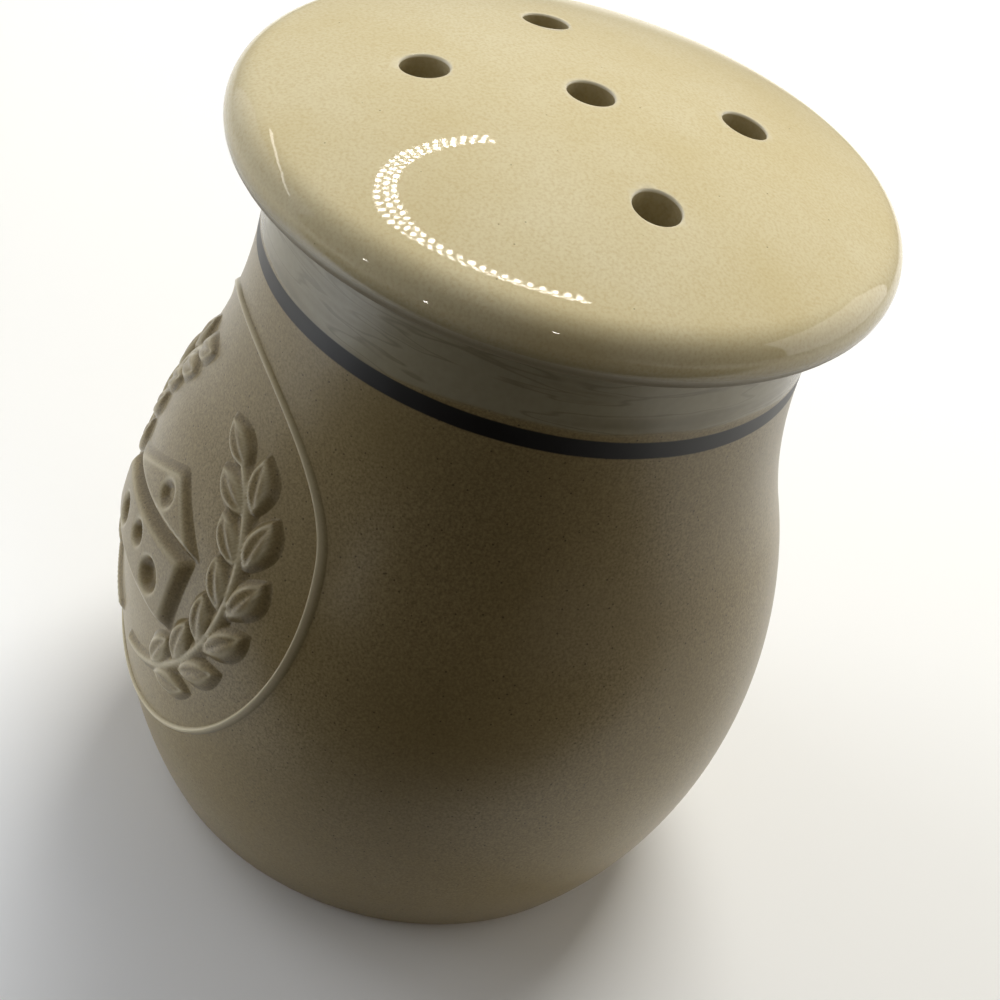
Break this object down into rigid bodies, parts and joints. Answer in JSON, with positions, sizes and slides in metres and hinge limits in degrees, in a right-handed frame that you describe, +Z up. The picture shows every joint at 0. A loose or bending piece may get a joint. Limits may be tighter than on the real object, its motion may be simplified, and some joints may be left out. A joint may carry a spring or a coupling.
{
  "type": "cheese shaker",
  "caption": "Pot-bellied stoneware shaker for grated cheese: a jar with a raised medallion, and a domed, pierced lid that plugs the mouth with a ribbed sealing ring and lifts off.",
  "frame": {"origin": "middle of the flat base that the jar stands on", "axes": "+Z up along the jar's axis; the medallion faces -Y"},
  "size_m": [0.0904, 0.0918, 0.11],
  "materials": {
    "tan_stoneware": "satin olive-tan glaze with fine specks",
    "relief_stoneware": "satin olive-tan glaze that breaks pale on raised edges",
    "cream_glaze": "glossy cream glaze with fine brown specks",
    "silicone": "satin translucent silicone"
  },
  "bodies": {
    "jar": {"jar": "tan_stoneware", "medallion_border": "relief_stoneware", "wedge_side": "relief_stoneware", "wedge_top": "relief_stoneware", "left_wheat_ear": "relief_stoneware", "right_wheat_ear": "relief_stoneware"},
    "gasket": {"lid_gasket": "silicone"},
    "lid": {"lid": "cream_glaze"}
  },
  "joints": [
    {"name": "lid_lift", "type": "slide", "parent": "jar", "child": "gasket", "axis": [0, 0, 1], "range_m": [0, 0.045]},
    {"name": "lid_turn", "type": "hinge", "parent": "gasket", "child": "lid", "pos_m": [0, 0, 0.0965], "axis": [0, 0, 1], "continuous": true}
  ]
}
